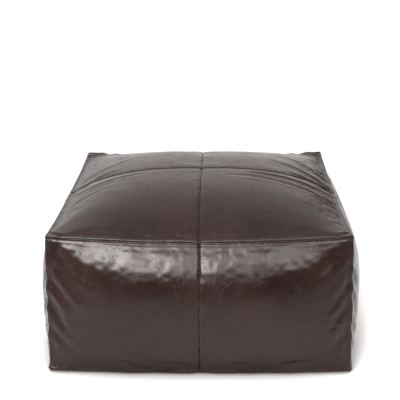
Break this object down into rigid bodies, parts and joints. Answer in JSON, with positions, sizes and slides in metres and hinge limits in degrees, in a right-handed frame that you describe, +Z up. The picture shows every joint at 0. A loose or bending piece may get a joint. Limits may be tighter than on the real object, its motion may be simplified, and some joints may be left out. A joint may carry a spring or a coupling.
{
  "type": "moroccan leather pouf",
  "caption": "Square floor pouf of sewn leather squares, stuffed and domed, with a zip across its flat base.",
  "frame": {"origin": "on the floor, under the centre of the pouf", "axes": "+Z up, +X to the right along the zip, +Y to the back"},
  "size_m": [0.857, 0.857, 0.43],
  "materials": {
    "leather": "waxed dark brown goat leather, crinkled, with a soft shine",
    "liner_cotton": "unbleached plain cotton",
    "stuffing": "loose cotton and wool stuffing",
    "zip_tape": "dark brown woven tape",
    "zip_teeth": "dark brown nylon",
    "zip_metal": "antique brass"
  },
  "bodies": {
    "pouf": {"top_panel_front_left": "leather", "top_panel_front_right": "leather", "top_panel_back_left": "leather", "top_panel_back_right": "leather", "base_panel_front_left": "leather", "base_panel_front_right": "leather", "base_panel_back_left": "leather", "base_panel_back_right": "leather", "front_wall_left": "leather", "front_wall_right": "leather", "back_wall_left": "leather", "back_wall_right": "leather", "left_wall_front": "leather", "left_wall_back": "leather", "right_wall_front": "leather", "right_wall_back": "leather", "liner_top": "liner_cotton", "liner_base": "liner_cotton", "liner_front": "liner_cotton", "liner_back": "liner_cotton", "liner_left": "liner_cotton", "liner_right": "liner_cotton", "filling": "stuffing", "zip_tape_front": "zip_tape", "zip_teeth_front": "zip_teeth", "zip_top_stop_front": "zip_metal", "zip_tape_back": "zip_tape", "zip_teeth_back": "zip_teeth", "zip_top_stop_back": "zip_metal", "zip_bottom_stop": "zip_metal"},
    "zip_slider": {"zip_slider": "zip_metal"},
    "zip_pull": {"zip_pull": "zip_metal"}
  },
  "joints": [
    {"name": "zip_slide", "type": "slide", "parent": "pouf", "child": "zip_slider", "axis": [-1, 0, 0], "range_m": [0, 0.59]},
    {"name": "zip_pull_flip", "type": "hinge", "parent": "zip_slider", "child": "zip_pull", "pos_m": [0.296, 0, 0.0042], "axis": [0, -1, 0], "range_deg": [0, 175]}
  ]
}
